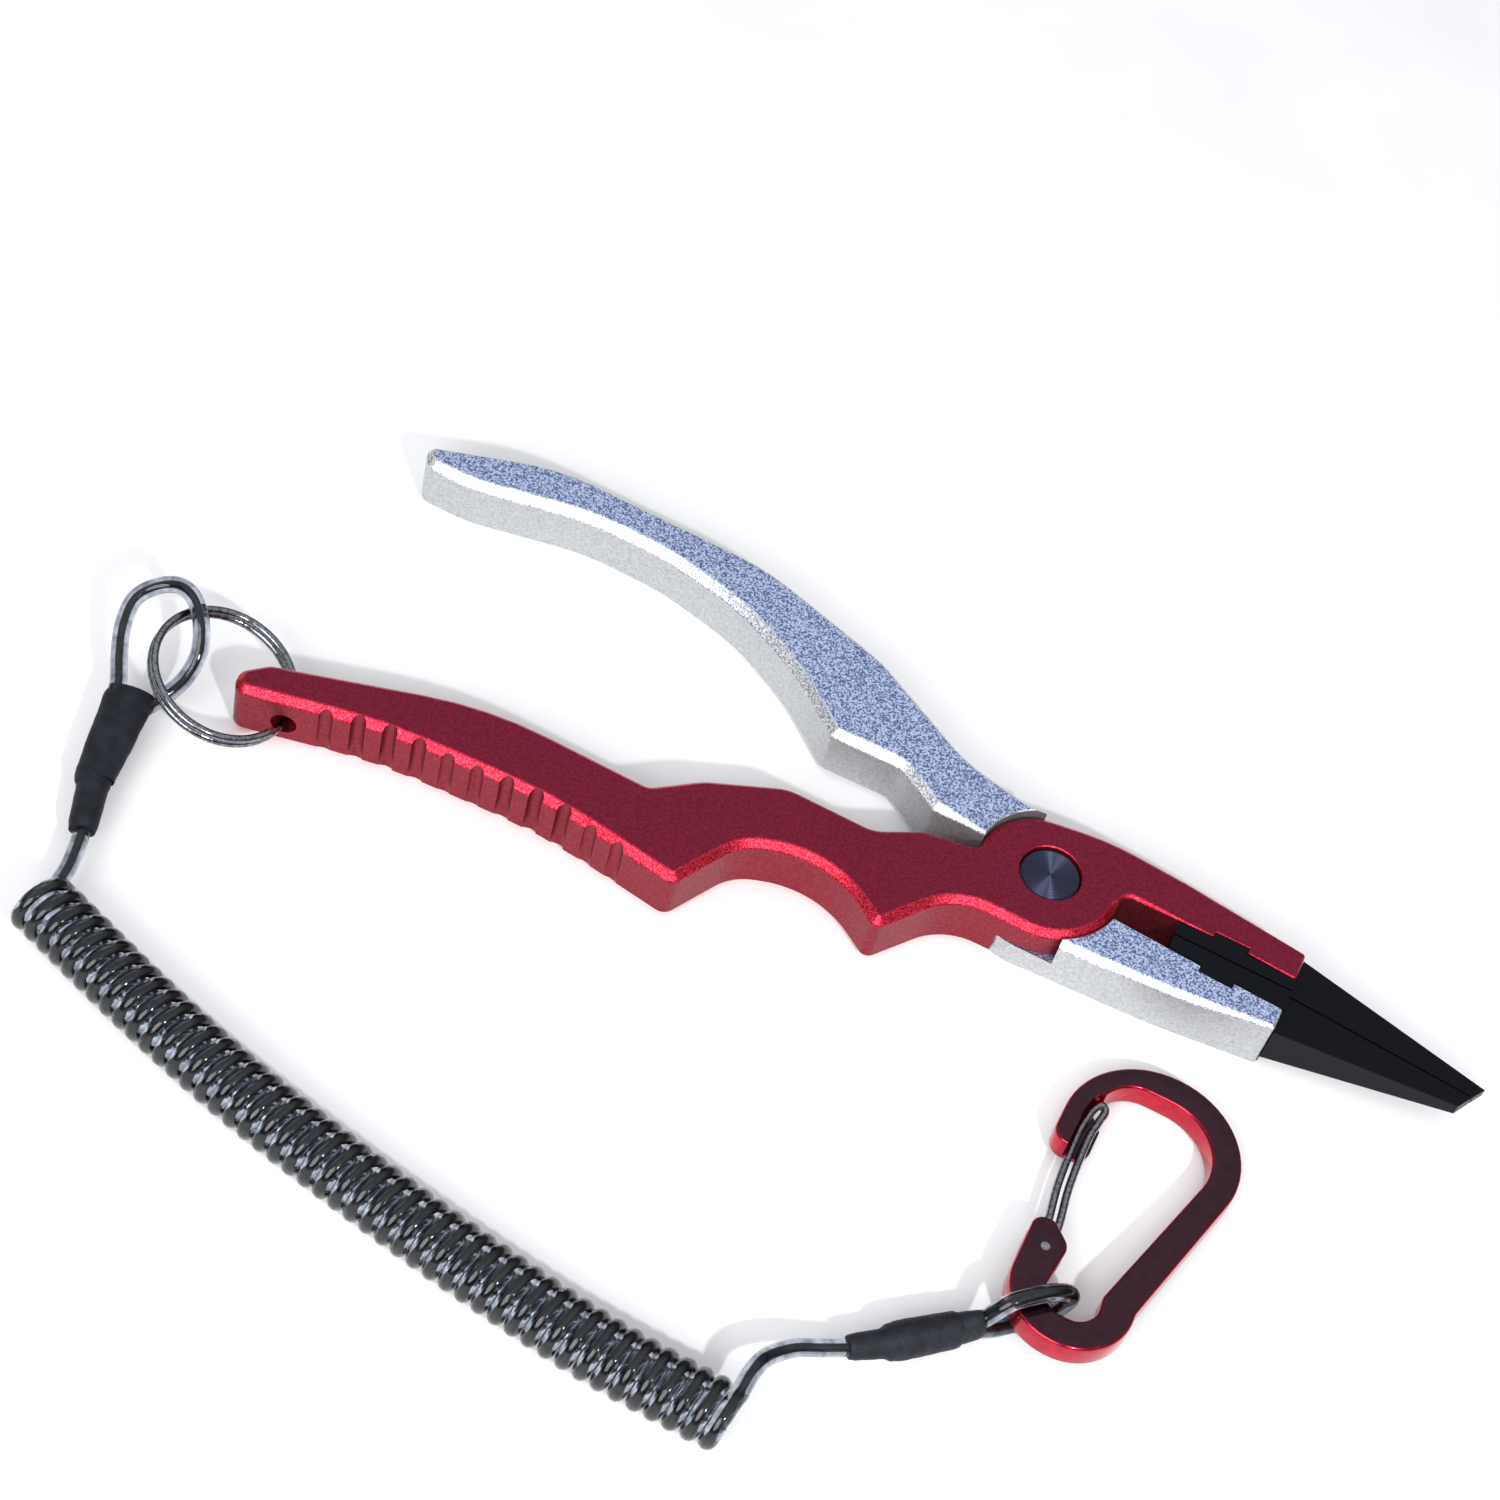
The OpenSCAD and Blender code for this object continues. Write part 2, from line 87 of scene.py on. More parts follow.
# Outline corners are (x, y, fillet radius, bevel width), counter-clockwise.
RED_OUTLINE = [
    (-124.8, -36.8, 2.2, 1.2),
    (-101.5, -31.0, 80, 1.3),
    (-73.4, -29.4, 80, 1.3),
    (-50.3, -32.7, 2.2, 1.3),
    (-44.3, -20.7, 9, 1.2),
    (-31.6, -15.4, 17, 1.2),
    (-20.0, -23.5, 1.6, 1.3),
    (-11.4, -11.4, 11, 1.2),
    (11.6, -11.6, 11.3, 1.2),
    (11.6, 2.8, 2, 0.5),
    (26.9, 2.8, 0.1, 0.07),
    (26.9, 3.8, 0.1, 0.07),
    (32.7, 3.8, 0.1, 0.07),
    (32.7, 2.8, 0.1, 0.07),
    (41.0, 2.3, 0.5, 0.2),
    (41.0, 7.5, 0.6, 0.3),
    (22.0, 10.3, 80, 0.9),
    (6.5, 11.7, 40, 1.1),
    (-11.6, 8.7, 10, 1.1),
    (-11.6, -1.6, 1, 0.6),
    (-20.5, -2.9, 6, 1.0),
    (-27.5, -7.1, 6, 1.0),
    (-42.5, -7.0, 8, 1.0),
    (-54.5, -12.9, 10, 1.0),
    (-61.3, -18.6, 2.5, 1.0),
    (-89.5, -18.2, 60, 1.0),
    (-122.0, -29.4, 4, 1.1),
    (-125.4, -32.6, 2, 1.2),
]
SILVER_OUTLINE = [
    (-121.8, 20.2, 2.5, 1.3),
    (-113.5, 19.9, 25, 1.4),
    (-93.0, 24.6, 40, 1.5),
    (-79.0, 24.4, 40, 1.5),
    (-63.5, 21.2, 40, 1.4),
    (-50.5, 14.2, 40, 1.3),
    (-40.8, 6.3, 1.5, 1.3),
    (-28.8, 6.6, 5, 1.3),
    (-21.0, 1.9, 1.5, 1.2),
    (-11.6, 1.4, 0.5, 0.4),
    (-11.6, -11.6, 11.6, 0.6),
    (8.0, -11.6, 40, 1.2),
    (26.0, -10.4, 60, 1.0),
    (41.0, -8.0, 0.6, 0.45),
    (41.0, -4.0, 0.5, 0.2),
    (32.7, -3.8, 0.1, 0.07),
    (32.7, -4.8, 0.1, 0.07),
    (26.9, -4.6, 0.1, 0.07),
    (26.9, -3.5, 0.1, 0.07),
    (11.3, -2.5, 0.2, 0.15),
    (11.6, 11.6, 11.5, 1.1),
    (-8.0, 10.9, 8, 1.0),
    (-19.5, 13.2, 25, 1.0),
    (-39.5, 24.3, 25, 1.0),
    (-64.0, 31.6, 40, 1.0),
    (-102.5, 31.9, 35, 1.0),
    (-123.0, 24.0, 1.5, 1.1),
]
CLIP_EDGE = 0.55
CLIP_OUTLINE = [
    (17.4, -40.6, 2.5, CLIP_EDGE),
    (23.8, -40.2, 2.4, CLIP_EDGE),
    (23.8, -33.5, 1.2, CLIP_EDGE),
    (22.0, -31.5, 0.6, 0.3),
    (22.0, -24.7, 6.4, CLIP_EDGE),
    (44.0, -24.7, 9.4, CLIP_EDGE),
    (33.9, -62.0, 2, CLIP_EDGE),
    (34.6, -68.2, 3.8, CLIP_EDGE),
    (25.4, -68.2, 3.6, CLIP_EDGE),
    (26.6, -57.0, 2.5, CLIP_EDGE),
    (23.2, -53.9, 1.5, CLIP_EDGE),
    (20.2, -54.3, 1.8, CLIP_EDGE),
    (20.2, -73.1, 9.3, CLIP_EDGE),
    (39.6, -73.1, 9.3, CLIP_EDGE),
    (39.2, -62.3, 3, CLIP_EDGE),
    (49.7, -20.0, 14.1, CLIP_EDGE),
    (17.4, -20.0, 14.1, CLIP_EDGE),
]
HOOK_SLOT = [
    (20.1, -42), (26.1, -42), (26.1, -28.9), (21.7, -28.9), (20.7, -30.6), (20.15, -34),
]
GATE_ROUTE = [
    (22.7, -58.3), (22.3, -53), (21.35, -46), (20.95, -37), (21.2, -33), (21.7, -30.6),
    (22.5, -29.6), (23.3, -30.5), (23, -33), (22.65, -37), (23.05, -46), (24, -53), (24.1, -58.3),
]

LOOP_A_ROUTE = [
    (-140, -46, 6), (-141.3, -42.2, 6.4), (-143.4, -38.6, 8), (-145.2, -34.6, 9.8),
    (-145.7, -30.6, 11.6), (-143.8, -27.8, 13), (-140.6, -26.4, 14.2), (-137.2, -27.4, 14.7),
    (-134.2, -30, 13.2), (-132.4, -33.4, 10.2), (-132.7, -37.2, 7.4), (-134.6, -41.4, 5.6),
    (-136.4, -46, 5.6),
]
LEAD_A_ROUTE = [
    (-132.6, -65.6, 4.5), (-131.7, -67.8, 4.6), (-130.6, -71.5, 4.7), (-130, -74.6, 4.5),
]
COIL_ROUTE = [
    (-131, -81.6, 5.3), (-125, -83.5, 5.3), (-107, -89.4, 5.3), (-88, -94.6, 5.3),
    (-68, -98.7, 5.3), (-48, -102, 5.3), (-28, -104.4, 5.3), (-13, -105, 5.3), (-6, -105, 5.3),
]
LEAD_B_ROUTE = [
    (-5.8, -98.3, 8.5), (-4.8, -94.5, 7.2), (-2.2, -91, 6), (1, -88.7, 5.2),
    (4.4, -86.4, 4.6), (6.2, -85, 4.5),
]
LOOP_B_START = (19.9, -73.2)
LOOP_B_TURN = 44.6
LOOP_B_PROFILE = [
    (-1.6, 5.5), (0, 6.1), (1.3, 7.4), (2.5, 8.8), (4, 9.7), (7, 9.8), (10, 9.2), (12.8, 7.7),
    (13.9, 5.5), (13, 3.2), (11.6, 1.9), (9.6, 1.36), (4.6, 1.36), (2.6, 1.6), (1, 2.2),
    (0, 2.6), (-1.6, 3.1),
]

# ---- Camera ----

CAMERA_AT = (9.51, -296.91, 400.0)
CAMERA_TARGET = (-52.33, 4.16, 0.0)
CAMERA_ROLL = 16.7
CAMERA_LENS = 75.0


def add_camera():
    data = bpy.data.cameras.new("camera")
    data.lens = CAMERA_LENS
    data.sensor_width = 36.0
    data.clip_start = 0.01
    camera = bpy.data.objects.new("camera", data)
    bpy.context.scene.collection.objects.link(camera)
    at = Vector(CAMERA_AT) * MM
    look = Vector(CAMERA_TARGET) * MM - at
    turn = look.to_track_quat("-Z", "Y").to_matrix().to_4x4()
    roll = Matrix.Rotation(radians(CAMERA_ROLL), 4, "Z")
    camera.matrix_world = Matrix.Translation(at) @ turn @ roll
    bpy.context.scene.camera = camera


add_camera()

# ---- Materials ----


def rgb(red, green, blue):
    """A linear colour from 0-255 display values."""
    def linear(v):
        v /= 255
        return v / 12.92 if v <= 0.04045 else ((v + 0.055) / 1.055) ** 2.4
    return (linear(red), linear(green), linear(blue), 1.0)


class Look:
    """A node material with the few nodes that these materials share."""

    def __init__(self, name, color, metallic, roughness):
        self.material = bpy.data.materials.new(name)
        self.material.use_nodes = True
        self.nodes = self.material.node_tree.nodes
        self.link = self.material.node_tree.links.new
        self.shader = self.nodes["Principled BSDF"]
        self.coords = self.nodes.new("ShaderNodeTexCoord")
        self.set("Base Color", color)
        self.set("Metallic", metallic)
        self.set("Roughness", roughness)

    def set(self, socket, value):
        self.shader.inputs[socket].default_value = value

    def noise(self, cell_mm, detail=3.0, stretch=(1, 1, 1)):
        """Noise with cells of that size, drawn out along an axis by stretch."""
        mapping = self.nodes.new("ShaderNodeMapping")
        mapping.inputs["Scale"].default_value = stretch
        self.link(self.coords.outputs["Object"], mapping.inputs["Vector"])
        noise = self.nodes.new("ShaderNodeTexNoise")
        noise.inputs["Scale"].default_value = 1 / (cell_mm * MM)
        noise.inputs["Detail"].default_value = detail
        self.link(mapping.outputs["Vector"], noise.inputs["Vector"])
        return noise.outputs["Fac"]

    def ramp(self, source, low, high, start=0.35, end=0.65):
        ramp = self.nodes.new("ShaderNodeValToRGB")
        ramp.color_ramp.elements[0].position = start
        ramp.color_ramp.elements[1].position = end
        ramp.color_ramp.elements[0].color = low
        ramp.color_ramp.elements[1].color = high
        self.link(source, ramp.inputs["Fac"])
        return ramp.outputs["Color"]

    def level(self, source, low, high, start=0.35, end=0.65):
        """source mapped from start-end to low-high."""
        node = self.nodes.new("ShaderNodeMapRange")
        node.inputs["From Min"].default_value = start
        node.inputs["From Max"].default_value = end
        node.inputs["To Min"].default_value = low
        node.inputs["To Max"].default_value = high
        self.link(source, node.inputs["Value"])
        return node.outputs["Result"]

    def mix(self, factor, low, high):
        node = self.nodes.new("ShaderNodeMix")
        node.data_type = "RGBA"
        self.link(factor, node.inputs["Factor"])
        for socket, value in ((node.inputs[6], low), (node.inputs[7], high)):
            if isinstance(value, tuple):
                socket.default_value = value
            else:
                self.link(value, socket)
        return node.outputs[2]

    def bump(self, height, depth_mm, strength=1.0):
        node = self.nodes.new("ShaderNodeBump")
        node.inputs["Distance"].default_value = depth_mm * MM
        node.inputs["Strength"].default_value = strength
        self.link(height, node.inputs["Height"])
        self.link(node.outputs["Normal"], self.shader.inputs["Normal"])

    def upward(self):
        """How far the surface's own normal points up or down, from 0 on a wall to 1 on a flat face."""
        split = self.nodes.new("ShaderNodeSeparateXYZ")
        self.link(self.coords.outputs["Normal"], split.inputs["Vector"])
        size = self.nodes.new("ShaderNodeMath")
        size.operation = "ABSOLUTE"
        self.link(split.outputs["Z"], size.inputs[0])
        return size.outputs[0]

    def to(self, socket, source):
        self.link(source, self.shader.inputs[socket])


def red_anodised():
    look = Look("red_anodised", rgb(130, 30, 50), 0.85, 0.38)
    grain = look.noise(0.35)
    # Painted shade and highlight: the flat top is given a darker red, the walls a lighter red and the
    # bevels a bright pink painted highlight, chosen by which way each surface faces; the grain within
    # each is the metal's own.
    face = look.ramp(grain, rgb(108, 24, 46), rgb(136, 36, 60))
    wall = look.ramp(look.noise(0.5), rgb(128, 32, 46), rgb(148, 48, 62))
    edge = look.ramp(look.noise(0.28), rgb(150, 8, 30), rgb(232, 64, 90), 0.4, 0.68)
    flatness = look.upward()
    body = look.mix(look.level(flatness, 0, 1, 0.1, 0.45), wall, edge)
    look.to("Base Color", look.mix(look.level(flatness, 0, 1, 0.86, 0.97), body, face))
    look.to("Roughness", look.level(grain, 0.34, 0.48))
    look.bump(grain, 0.05)
    return look.material


def silver_anodised():
    look = Look("silver_anodised", rgb(150, 165, 195), 0.8, 0.4)
    grain = look.noise(0.34, detail=2.0)
    # Painted shade and highlight: the flat top is given a darker blue-grey, the walls a light grey and
    # the bevels a near-white painted highlight, chosen by which way each surface faces; the grain
    # within each is the metal's own.
    face = look.ramp(grain, rgb(84, 102, 150), rgb(204, 216, 246), 0.4, 0.6)
    wall = look.ramp(look.noise(0.45), rgb(172, 175, 177), rgb(198, 200, 201))
    edge = look.ramp(look.noise(0.3), rgb(150, 158, 170), rgb(252, 253, 255), 0.4, 0.6)
    flatness = look.upward()
    body = look.mix(look.level(flatness, 0, 1, 0.1, 0.45), wall, edge)
    look.to("Base Color", look.mix(look.level(flatness, 0, 1, 0.86, 0.97), body, face))
    look.to("Roughness", look.level(grain, 0.3, 0.46))
    look.bump(grain, 0.05)
    return look.material


def jaw_steel():
    look = Look("jaw_steel", rgb(20, 24, 34), 0.3, 0.34)
    grain = look.noise(0.3, stretch=(0.3, 1, 1))
    look.set("Specular IOR Level", 0.14)
    look.to("Base Color", look.ramp(grain, rgb(4, 7, 13), rgb(11, 14, 22)))
    look.to("Roughness", look.level(grain, 0.3, 0.42))
    look.bump(grain, 0.01)
    return look.material


def turned_steel():
    """Dark lathe-turned steel: fine rings round the pivot axis and a brushed highlight across them."""
    look = Look("turned_steel", rgb(78, 84, 98), 1.0, 0.6)
    rings = look.nodes.new("ShaderNodeTexWave")
    rings.wave_type = "RINGS"
    rings.rings_direction = "Z"
    rings.inputs["Scale"].default_value = 1 / (0.9 * MM)
    rings.inputs["Distortion"].default_value = 0.6
    look.link(look.coords.outputs["Object"], rings.inputs["Vector"])
    tangent = look.nodes.new("ShaderNodeTangent")
    tangent.direction_type = "RADIAL"
    tangent.axis = "Z"
    look.link(tangent.outputs["Tangent"], look.shader.inputs["Tangent"])
    look.set("Anisotropic", 1.0)
    look.set("Anisotropic Rotation", 0.25)
    shade = look.ramp(rings.outputs["Fac"], rgb(50, 56, 78), rgb(100, 106, 132), 0.1, 0.9)
    look.to("Base Color", shade)
    look.bump(rings.outputs["Fac"], 0.004)
    return look.material


def plain_steel(name, dark, light, roughness):
    look = Look(name, dark, 1.0, roughness)
    grain = look.noise(0.4, stretch=(1, 1, 0.3))
    look.to("Base Color", look.ramp(grain, dark, light))
    look.to("Roughness", look.level(grain, roughness - 0.06, roughness + 0.08))
    look.bump(grain, 0.004)
    return look.material


def cord_jacket():
    """Clear smoke-tinted plastic, through which the dark core shows."""
    look = Look("cord_jacket", rgb(64, 70, 80), 0.0, 0.05)
    flow = look.noise(1.6, detail=4.0)
    look.to("Base Color", look.ramp(flow, rgb(120, 128, 142), rgb(196, 203, 214)))
    look.to("Roughness", look.level(flow, 0.03, 0.1))
    look.set("Transmission Weight", 1.0)
    look.set("IOR", 1.45)
    look.bump(flow, 0.02)
    return look.material


def cord_core():
    look = Look("cord_core", rgb(12, 13, 15), 0.0, 0.5)
    strands = look.noise(0.5)
    look.to("Base Color", look.ramp(strands, rgb(3, 4, 6), rgb(14, 16, 20)))
    look.bump(strands, 0.05)
    return look.material


def sleeve_rubber():
    look = Look("sleeve_rubber", rgb(12, 13, 17), 0.0, 0.62)
    skin = look.noise(0.5, detail=5.0)
    folds = look.noise(2.4, detail=2.0)
    look.set("Specular IOR Level", 0.25)
    look.to("Base Color", look.ramp(folds, rgb(18, 20, 27), rgb(30, 33, 42)))
    look.to("Roughness", look.level(skin, 0.52, 0.72))
    look.bump(skin, 0.06)
    return look.material


def clip_lacquer():
    look = Look("clip_lacquer", rgb(120, 16, 36), 0.9, 0.22)
    cloud = look.noise(1.2, detail=4.0)
    # Painted shade and light: the flat top is given a dark maroon and the walls a bright red, chosen
    # by which way each surface faces; the cloud within each is the lacquer's own.
    face = look.ramp(cloud, rgb(46, 14, 28), rgb(58, 20, 36))
    wall = look.ramp(cloud, rgb(164, 14, 40), rgb(184, 26, 54))
    look.to("Base Color", look.mix(look.level(look.upward(), 0, 1, 0.7, 0.98), wall, face))
    look.to("Roughness", look.level(cloud, 0.16, 0.24))
    look.set("Coat Weight", 0.3)
    look.set("Coat Roughness", 0.08)
    look.bump(cloud, 0.01)
    return look.material


def floor_paint():
    look = Look("floor_paint", rgb(246, 246, 247), 0.0, 0.7)
    look.to("Base Color", look.ramp(look.noise(60), rgb(243, 243, 244), rgb(249, 249, 250)))
    return look.material


RED = red_anodised()
SILVER = silver_anodised()
JAW = jaw_steel()
TURNED = turned_steel()
DARK_STEEL = plain_steel("dark_steel", rgb(40, 43, 50), rgb(66, 70, 78), 0.36)
SPRING_STEEL = plain_steel("spring_steel", rgb(120, 122, 126), rgb(160, 162, 166), 0.3)
BLACK_CHROME = plain_steel("black_chrome", rgb(92, 94, 100), rgb(146, 148, 154), 0.13)
BRASS = plain_steel("washer_brass", rgb(176, 142, 72), rgb(206, 172, 98), 0.34)
JACKET = cord_jacket()
CORE = cord_core()
SLEEVE = sleeve_rubber()
CLIP = clip_lacquer()

# ---- Shapes ----


def catmull(points, per_step):
    """A smooth run of points through a given route."""
    route = [Vector(p) for p in points]
    route = [2 * route[0] - route[1]] + route + [2 * route[-1] - route[-2]]
    out = []
    for i in range(1, len(route) - 2):
        a, b, c, d = route[i - 1:i + 3]
        for k in range(per_step):
            t = k / per_step
            out.append(0.5 * (2 * b + (c - a) * t + (2 * a - 5 * b + 4 * c - d) * t ** 2
                              + (3 * b - a - 3 * c + d) * t ** 3))
    out.append(route[-2])
    return out


def eased(values, per_step):
    """Values that pass from one to the next with no overshoot."""
    out = []
    for a, b in zip(values, values[1:]):
        for k in range(per_step):
            t = k / per_step
            out.append(a.lerp(b, t * t * (3 - 2 * t)))
    out.append(values[-1])
    return out


def length_of(points):
    return sum((b - a).length for a, b in zip(points, points[1:]))


def fillets(corners, step=6.0):
    """Each filleted corner as (position, outward normal, bevel) along its arc."""
    out = []
    for i, (x, y, radius, bevel) in enumerate(corners):
        before = Vector(corners[i - 1][:2])
        here = Vector((x, y))
        after = Vector(corners[(i + 1) % len(corners)][:2])
        into = (here - before).normalized()
        away = (after - here).normalized()
        side = -1 if into.cross(away) < 0 else 1
        bend = acos(max(-1.0, min(1.0, into.dot(away))))
        start = here - into * radius * tan(bend / 2)
        centre = start + side * radius * Vector((-into.y, into.x))
        steps = max(1, ceil(bend * 180 / pi / step))
        for k in range(steps + 1):
            arm = Matrix.Rotation(side * bend * k / steps, 2) @ (start - centre)
            out.append((centre + arm, side * arm / radius, bevel))
    return out


def chamfer(bevel):
    """(inset, depth) steps down a flat chamfer whose two edges are a little rounded."""
    soft = min(0.12, bevel * 0.3)
    return [(bevel + soft, 0), (bevel - soft, soft), (soft, bevel - soft), (0, bevel + soft)]


def round_over(bevel):
    """(inset, depth) steps down a quarter round."""
    steps = 5
    angles = [pi / 2 * k / steps for k in range(steps + 1)]
    return [(bevel * (1 - sin(a)), bevel * (1 - cos(a))) for a in angles]


def prism(bm, corners, z0, z1, profile):
    """A plate with profiled edges, top and bottom alike."""
    edge = fillets(corners)
    steps = len(profile(1.0))
    rings = []
    for base, direction, order in ((z0, 1, range(steps)), (z1, -1, reversed(range(steps)))):
        for k in order:
            ring = []
            for point, normal, bevel in edge:
                inset, depth = profile(bevel)[k]
                place = point - normal * inset
                ring.append(bm.verts.new(Vector((place.x, place.y, base + direction * depth)) * MM))
            rings.append(ring)
    skin(bm, rings)


def skin(bm, rings):
    """Side faces between rings of vertices, and a cap on each end."""
    count = len(rings[0])
    for low, high in zip(rings, rings[1:]):
        for i in range(count):
            j = (i + 1) % count
            bm.faces.new((low[i], low[j], high[j], high[i]))
    bm.faces.new(list(reversed(rings[0])))
    bm.faces.new(rings[-1])


def turned(bm, profile, centre=(0, 0), segments=96):
    """A solid turned about Z from (radius, height) points, capped at the first and the last."""
    rings = []
    for radius, height in profile:
        ring = []
        for i in range(segments):
            a = 2 * pi * i / segments
            x = centre[0] + radius * cos(a)
            y = centre[1] + radius * sin(a)
            ring.append(bm.verts.new(Vector((x, y, height)) * MM))
        rings.append(ring)
    skin(bm, rings)


def block(bm, low, high):
    rings = []
    for z in (low[2], high[2]):
        corners = ((low[0], low[1]), (high[0], low[1]), (high[0], high[1]), (low[0], high[1]))
        rings.append([bm.verts.new(Vector((x, y, z)) * MM) for x, y in corners])
    skin(bm, rings)


def mesh_object(name, bm, material=None, smooth_angle=16.0):
    bmesh.ops.remove_doubles(bm, verts=bm.verts, dist=1e-7)
    bmesh.ops.recalc_face_normals(bm, faces=bm.faces)
    mesh = bpy.data.meshes.new(name)
    bm.to_mesh(mesh)
    bm.free()
    obj = bpy.data.objects.new(name, mesh)
    bpy.context.scene.collection.objects.link(obj)
    if material:
        mesh.materials.append(material)
        soften(mesh, smooth_angle)
    return obj


def soften(mesh, angle):
    """Smooth shading, with edges sharper than the angle kept sharp."""
    for face in mesh.polygons:
        face.use_smooth = True
    mesh.set_sharp_from_angle(angle=radians(angle))


def cut(obj, make_cutter, smooth_angle=16.0):
    """Takes the cutter's solids away from obj, for good."""
    bm = bmesh.new()
    make_cutter(bm)
    cutter = mesh_object(obj.name + "_cutter", bm)
    modifier = obj.modifiers.new("cut", "BOOLEAN")
    modifier.operation = "DIFFERENCE"
    modifier.solver = "EXACT"
    modifier.object = cutter
    graph = bpy.context.evaluated_depsgraph_get()
    mesh = bpy.data.meshes.new_from_object(obj.evaluated_get(graph))
    obj.modifiers.clear()
    obj.data = mesh
    bpy.data.objects.remove(cutter)
    soften(mesh, smooth_angle)


def tube(name, points, radius, material, sides=4):
    """A round tube as a curve of one open spline, with closed ends."""
    data = bpy.data.curves.new(name, "CURVE")
    data.dimensions = "3D"
    data.bevel_depth = radius * MM
    data.bevel_resolution = sides
    data.use_fill_caps = True
    spline = data.splines.new("POLY")
    spline.points.add(len(points) - 1)
    for node, point in zip(spline.points, points):
        node.co = (*(Vector(point) * MM), 1)
    data.materials.append(material)
    obj = bpy.data.objects.new(name, data)
    bpy.context.scene.collection.objects.link(obj)
    return obj


def place(obj, body, slot, *nodes):
    """Puts a piece on its body, in place of its CAD nodes."""
    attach(obj, body)
    if nodes:
        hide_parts(*nodes)


# ---- Cords ----


def coil_points():
    """The coiled stretch: a left-handed helix round the coil's own bent axis."""
    per_turn = 20
    start, finish = radians(-24), radians(51)
    axis = catmull(COIL_ROUTE, 24)
    reach = [0.0]
    for a, b in zip(axis, axis[1:]):
        reach.append(reach[-1] + (b - a).length)
    swing = 2 * pi * COIL_TURNS + start - finish
    radius = (COIL_D - CORD_D) / 2
    total = COIL_TURNS * per_turn
    out = []
    k = 0
    for i in range(total + 1):
        goal = reach[-1] * i / total
        while k < len(axis) - 2 and reach[k + 1] < goal:
            k += 1
        along = axis[k + 1] - axis[k]
        centre = axis[k] + along * (goal - reach[k]) / (reach[k + 1] - reach[k])
        across = Vector((-along.y, along.x, 0)).normalized()
        angle = start - swing * i / total
        out.append(centre + radius * (cos(angle) * across + sin(angle) * Vector((0, 0, 1))))
    return out


def main_route():
    """Both leads and the coil. Each lead is drawn on into the helix, which sets its direction."""
    per_step = 5
    drawn_on = per_step + 1
    helix = coil_points()
    lead_a = catmull(LEAD_A_ROUTE + [helix[0], helix[2]], per_step)[:-drawn_on]
    lead_b = catmull([helix[-3], helix[-1]] + LEAD_B_ROUTE, per_step)[drawn_on:]
    return lead_a + helix + lead_b


def loop_b_points():
    out = []
    for reach, height in LOOP_B_PROFILE:
        turn = radians(LOOP_B_TURN)
        out.append((LOOP_B_START[0] + reach * cos(turn), LOOP_B_START[1] + reach * sin(turn), height))
    return out


def add_cord(name, points, exit_point, *nodes, with_pieces=()):
    """A clear jacket with its dark core inside."""
    core_share = 0.3
    jacket = tube(name, points, CORD_D / 2, JACKET)
    core = tube(name + "_core", points, CORD_D / 2 * core_share, CORE, sides=2)
    place(jacket, "red_body", "cord_jacket", *nodes)
    place(core, "red_body", "cord_jacket")
    round(length_of([Vector(p) for p in points]) * MM, 3)


# Sleeve stations are (centre, half width, half height), from one end to the other.
SLEEVE_A = [
    ((-138.6, -42.6, 6.0), 4.0, 2.0),
    ((-137.0, -50.2, 5.6), 3.6, 2.1),
    ((-135.3, -58.2, 5.2), 3.1, 2.1),
    ((-134.8, -59.6, 5.1), 2.6, 2.1),
    ((-134.0, -61.8, 5.0), 2.4, 2.1),
    ((-131.8, -67.7, 4.6), 2.25, 2.05),
]
SLEEVE_B = [
    ((4.4, -86.4, 4.6), 1.9, 1.9),
    ((8.0, -83.7, 4.5), 2.1, 2.1),
    ((9.4, -82.5, 4.4), 2.6, 3.1),
    ((10.9, -81.2, 4.4), 2.8, 3.3),
    ((16.2, -76.5, 4.3), 2.6, 3.3),
    ((17.4, -75.4, 4.3), 2.1, 3.2),
    ((19.9, -73.2, 4.3), 1.75, 3.4),
]


def loft(name, stations, material, ripple):
    """A soft sleeve through oval stations, with the faint waves of shrunk tubing."""
    sides = 40
    per_step = 10
    centres = catmull([s[0] for s in stations], per_step)
    sizes = eased([Vector(s[1:]) for s in stations], per_step)
    bm = bmesh.new()
    rings = []
    for i, (centre, size) in enumerate(zip(centres, sizes)):
        ahead = centres[min(i + 1, len(centres) - 1)] - centres[max(i - 1, 0)]
        across = Vector((-ahead.y, ahead.x, 0)).normalized()
        up = across.cross(ahead).normalized() * -1
        closing = min(1.0, 0.9 + 0.05 * min(i, len(centres) - 1 - i))
        ring = []
        for j in range(sides):
            a = 2 * pi * j / sides
            wave = 1 + ripple * sin(3 * a + 1.7 * i) * sin(0.55 * i)
            arm = across * size.x * cos(a) + up * size.y * sin(a)
            ring.append(bm.verts.new((centre + arm * wave * closing) * MM))
        rings.append(ring)
    skin(bm, rings)
    return mesh_object(name, bm, material, 50.0)


def add_lanyard():
    ripple = 0.012
    sleeve_a = loft("sleeve_over_crimp_a", SLEEVE_A, SLEEVE, ripple)
    sleeve_b = loft("sleeve_over_crimp_b", SLEEVE_B, SLEEVE, ripple)
    place(sleeve_a, "red_body", "sleeve_black", "sleeve_a")
    place(sleeve_b, "red_body", "sleeve_black", "sleeve_b")
    nodes = ("cord_lead_a", "cord_coil", "cord_lead_b")
    add_cord("cord_main", main_route(), LEAD_A_ROUTE[1], *nodes, with_pieces=[sleeve_a, sleeve_b])
    add_cord("cord_ring_loop", catmull(LOOP_A_ROUTE, 6), LOOP_A_ROUTE[0], "cord_loop_a")
    add_cord("cord_clip_loop", catmull(loop_b_points(), 6), loop_b_points()[0], "cord_loop_b")


add_lanyard()

# ---- Pliers ----

